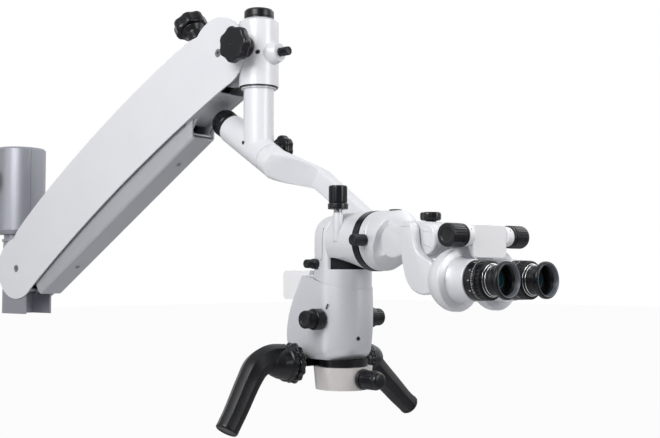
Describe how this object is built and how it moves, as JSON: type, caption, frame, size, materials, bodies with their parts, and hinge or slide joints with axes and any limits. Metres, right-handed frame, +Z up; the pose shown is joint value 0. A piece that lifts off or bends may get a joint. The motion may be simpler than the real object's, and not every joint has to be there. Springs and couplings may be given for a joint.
{
  "type": "surgical microscope on spring arm",
  "caption": "White dental surgical microscope with a folding binocular tube and two handles, hung from a balanced spring arm on a round swivel column.",
  "frame": {"origin": "centre of the mouth of the vertical bore in the flat top of the swivel column, where the part is held", "axes": "+Z up along the column bore, +X forward from the column towards the eyepieces, +Y to the side away from the camera of the picture"},
  "size_m": [1.0341, 0.3237, 0.5692],
  "materials": {
    "column_paint": "satin silver grey paint",
    "arm_paint": "smooth white enamel",
    "tray_paint": "pale grey satin paint",
    "body_paint": "white enamel on cast housings",
    "lamp_plastic": "smooth white moulding",
    "steel": "bright turned steel",
    "bronze": "sintered bearing bronze",
    "black_plastic": "semi-matt black moulding",
    "black_metal": "black anodised metal",
    "satin_metal": "satin silver anodised metal"
  },
  "bodies": {
    "column": {"column_core": "column_paint", "column_cover_near": "column_paint", "column_cover_far": "column_paint", "column_cover_screws": "steel", "column_bushes": "bronze"},
    "column_clamp": {"column_clamp_knob": "black_plastic"},
    "bracket": {"bracket": "column_paint", "bracket_spindle": "steel", "lower_pivot_pins": "steel"},
    "arm": {"arm_frame": "tray_paint", "arm_side_near": "arm_paint", "arm_side_far": "arm_paint", "arm_top_cover": "arm_paint", "arm_under_cover": "tray_paint", "under_cover_screws": "steel", "arm_bushes": "bronze", "balance_spring": "steel", "spring_rod": "steel"},
    "rods": {"parallel_rods": "steel"},
    "balance_knob": {"balance_knob": "black_plastic"},
    "head": {"head_block": "arm_paint", "head_bushes": "bronze", "head_cap": "black_plastic", "upper_pivot_pins": "steel"},
    "head_brake": {"head_brake_knob": "black_plastic"},
    "head_stop": {"head_stop_knob": "black_plastic"},
    "hanger": {"hanger": "arm_paint", "hanger_spindle": "steel"},
    "rear_clamp": {"rear_clamp_cap": "black_plastic"},
    "swing_lock": {"swing_lock_knob": "black_plastic"},
    "swing_arm": {"swing_arm": "arm_paint", "swing_shaft": "steel"},
    "scope": {"tilt_shaft": "steel", "drum": "body_paint", "neck_cover": "body_paint", "body_shell": "body_paint", "body_collar": "body_paint", "lamp_housing": "lamp_plastic", "handle_ring": "black_metal", "objective_housing": "satin_metal", "seal_ring": "black_metal"},
    "tilt_lock": {"tilt_knob": "black_plastic"},
    "magnification": {"magnification_changer": "black_plastic"},
    "filter": {"filter_knob": "black_plastic"},
    "focus": {"focus_knob": "black_plastic"},
    "objective_cell": {"objective_cell": "black_metal"},
    "handle_left": {"handle_left": "black_plastic"},
    "handle_right": {"handle_right": "black_plastic"},
    "handle_knob_left": {"handle_knob_left": "black_plastic"},
    "handle_knob_right": {"handle_knob_right": "black_plastic"},
    "tube": {"tube_base": "body_paint"},
    "tube_lock": {"tube_lock_knob": "black_plastic"},
    "fold_link": {"fold_link": "body_paint"},
    "fold_lock": {"fold_knob": "black_plastic"},
    "ocular": {"ocular_frame": "body_paint"},
    "ipd": {"ipd_knobs": "black_plastic"},
    "pod_left": {"pod_left": "body_paint"},
    "pod_right": {"pod_right": "body_paint"},
    "eyepiece_left": {"eyepiece_left": "black_metal"},
    "eyepiece_right": {"eyepiece_right": "black_metal"}
  },
  "joints": [
    {"name": "column_swivel", "type": "hinge", "parent": "column", "child": "bracket", "pos_m": [0, 0, -0.15], "axis": [0, 0, 1], "range_deg": [-150, 150]},
    {"name": "column_clamp_turn", "type": "hinge", "parent": "column", "child": "column_clamp", "pos_m": [0, -0.042, -0.058], "axis": [0, -1, 0], "range_deg": [-160, 160]},
    {"name": "arm_lift", "type": "hinge", "parent": "bracket", "child": "arm", "pos_m": [0.03298, 0.00641, -0.2034], "axis": [0.1908, -0.9816, 0], "range_deg": [-57, 2]},
    {"name": "rod_lift", "type": "hinge", "parent": "bracket", "child": "rods", "pos_m": [0.03298, 0.00641, -0.2374], "axis": [0.1908, -0.9816, 0], "range_deg": [-57, 2]},
    {"name": "balance_turn", "type": "hinge", "parent": "arm", "child": "balance_knob", "pos_m": [0.45262, 0.08798, 0.07104], "axis": [-0.5303, -0.1031, 0.8415], "range_deg": [-160, 160]},
    {"name": "head_level", "type": "hinge", "parent": "arm", "child": "head", "pos_m": [0.48566, 0.0944, 0.09265], "axis": [0.1908, -0.9816, 0], "range_deg": [-2, 57]},
    {"name": "head_brake_turn", "type": "hinge", "parent": "head", "child": "head_brake", "pos_m": [0.54538, 0.07647, 0.09265], "axis": [0.1908, -0.9816, 0], "range_deg": [-160, 160]},
    {"name": "head_stop_turn", "type": "hinge", "parent": "head", "child": "head_stop", "pos_m": [0.57273, 0.11133, 0.08665], "axis": [0.9816, 0.1908, 0], "range_deg": [-160, 160]},
    {"name": "hanger_swivel", "type": "hinge", "parent": "head", "child": "hanger", "pos_m": [0.53543, 0.10408, 0.09265], "axis": [0, 0, 1], "range_deg": [-90, 90]},
    {"name": "rear_clamp_turn", "type": "hinge", "parent": "hanger", "child": "rear_clamp", "pos_m": [0.47047, 0.10408, -0.0058], "axis": [-0.866, 0, 0.5], "range_deg": [-160, 160]},
    {"name": "swing_lock_turn", "type": "hinge", "parent": "hanger", "child": "swing_lock", "pos_m": [0.54376, 0.12608, -0.03887], "axis": [0, 1, 0], "range_deg": [-160, 160]},
    {"name": "swing", "type": "hinge", "parent": "hanger", "child": "swing_arm", "pos_m": [0.53543, 0.10408, -0.0433], "axis": [0.866, 0, -0.5], "range_deg": [-30, 30]},
    {"name": "scope_tilt", "type": "hinge", "parent": "swing_arm", "child": "scope", "pos_m": [0.74163, 0.14358, -0.174], "axis": [0, 1, 0], "range_deg": [-30, 30]},
    {"name": "tilt_lock_turn", "type": "hinge", "parent": "scope", "child": "tilt_lock", "pos_m": [0.73463, 0.07308, -0.134], "axis": [0, 0, 1], "range_deg": [-160, 160]},
    {"name": "magnification_turn", "type": "hinge", "parent": "scope", "child": "magnification", "pos_m": [0.70863, 0.06608, -0.267], "axis": [0, 1, 0], "range_deg": [-90, 90]},
    {"name": "filter_turn", "type": "hinge", "parent": "scope", "child": "filter", "pos_m": [0.69163, 0.07408, -0.2005], "axis": [0, -1, 0], "range_deg": [-90, 90]},
    {"name": "focus_turn", "type": "hinge", "parent": "scope", "child": "focus", "pos_m": [0.74463, 0.10408, -0.3385], "axis": [1, 0, 0], "range_deg": [-160, 160]},
    {"name": "focus_travel", "type": "slide", "parent": "scope", "child": "objective_cell", "axis": [0, 0, 1], "range_m": [-0.0034, 0.0034]},
    {"name": "handle_left_turn", "type": "hinge", "parent": "scope", "child": "handle_left", "pos_m": [0.67663, 0.04408, -0.3205], "axis": [0, 1, 0], "range_deg": [-35, 35]},
    {"name": "handle_knob_left_turn", "type": "hinge", "parent": "scope", "child": "handle_knob_left", "pos_m": [0.67663, 0.05408, -0.3205], "axis": [0, 1, 0], "range_deg": [-160, 160]},
    {"name": "handle_right_turn", "type": "hinge", "parent": "scope", "child": "handle_right", "pos_m": [0.67663, 0.16408, -0.3205], "axis": [0, 1, 0], "range_deg": [-35, 35]},
    {"name": "handle_knob_right_turn", "type": "hinge", "parent": "scope", "child": "handle_knob_right", "pos_m": [0.67663, 0.15408, -0.3205], "axis": [0, 1, 0], "range_deg": [-160, 160]},
    {"name": "tube_rotate", "type": "hinge", "parent": "scope", "child": "tube", "pos_m": [0.76863, 0.10408, -0.174], "axis": [1, 0, 0], "range_deg": [-30, 30]},
    {"name": "tube_lock_turn", "type": "hinge", "parent": "tube", "child": "tube_lock", "pos_m": [0.78463, 0.06808, -0.174], "axis": [0, -1, 0], "range_deg": [-160, 160]},
    {"name": "fold_lower", "type": "hinge", "parent": "tube", "child": "fold_link", "pos_m": [0.82663, 0.10408, -0.172], "axis": [0, 1, 0], "range_deg": [-20, 20]},
    {"name": "fold_lock_turn", "type": "hinge", "parent": "fold_link", "child": "fold_lock", "pos_m": [0.85663, 0.10408, -0.154], "axis": [0, 0, 1], "range_deg": [-160, 160]},
    {"name": "fold_upper", "type": "hinge", "parent": "fold_link", "child": "ocular", "pos_m": [0.87463, 0.10408, -0.176], "axis": [0, 1, 0], "range_deg": [-25, 25]},
    {"name": "ipd_turn", "type": "hinge", "parent": "ocular", "child": "ipd", "pos_m": [0.93463, 0.10408, -0.173], "axis": [0, 1, 0], "range_deg": [-160, 160]},
    {"name": "pod_left_travel", "type": "slide", "parent": "ocular", "child": "pod_left", "axis": [0, 1, 0], "range_m": [-0.0045, 0.0045]},
    {"name": "pod_right_travel", "type": "slide", "parent": "ocular", "child": "pod_right", "axis": [0, 1, 0], "range_m": [-0.0045, 0.0045]},
    {"name": "eyepiece_left_turn", "type": "hinge", "parent": "pod_left", "child": "eyepiece_left", "pos_m": [0.95063, 0.07208, -0.2195], "axis": [1, 0, 0], "range_deg": [-120, 120]},
    {"name": "eyepiece_right_turn", "type": "hinge", "parent": "pod_right", "child": "eyepiece_right", "pos_m": [0.95063, 0.13608, -0.2195], "axis": [1, 0, 0], "range_deg": [-120, 120]}
  ],
  "couplings": [
    {"joint": "head_level", "follows": "arm_lift", "ratio": -1},
    {"joint": "rod_lift", "follows": "arm_lift", "ratio": 1},
    {"joint": "focus_turn", "follows": "focus_travel", "rad_per_m": 821.33},
    {"joint": "pod_right_travel", "follows": "pod_left_travel", "ratio": -1},
    {"joint": "ipd_turn", "follows": "pod_left_travel", "rad_per_m": -620.56}
  ]
}
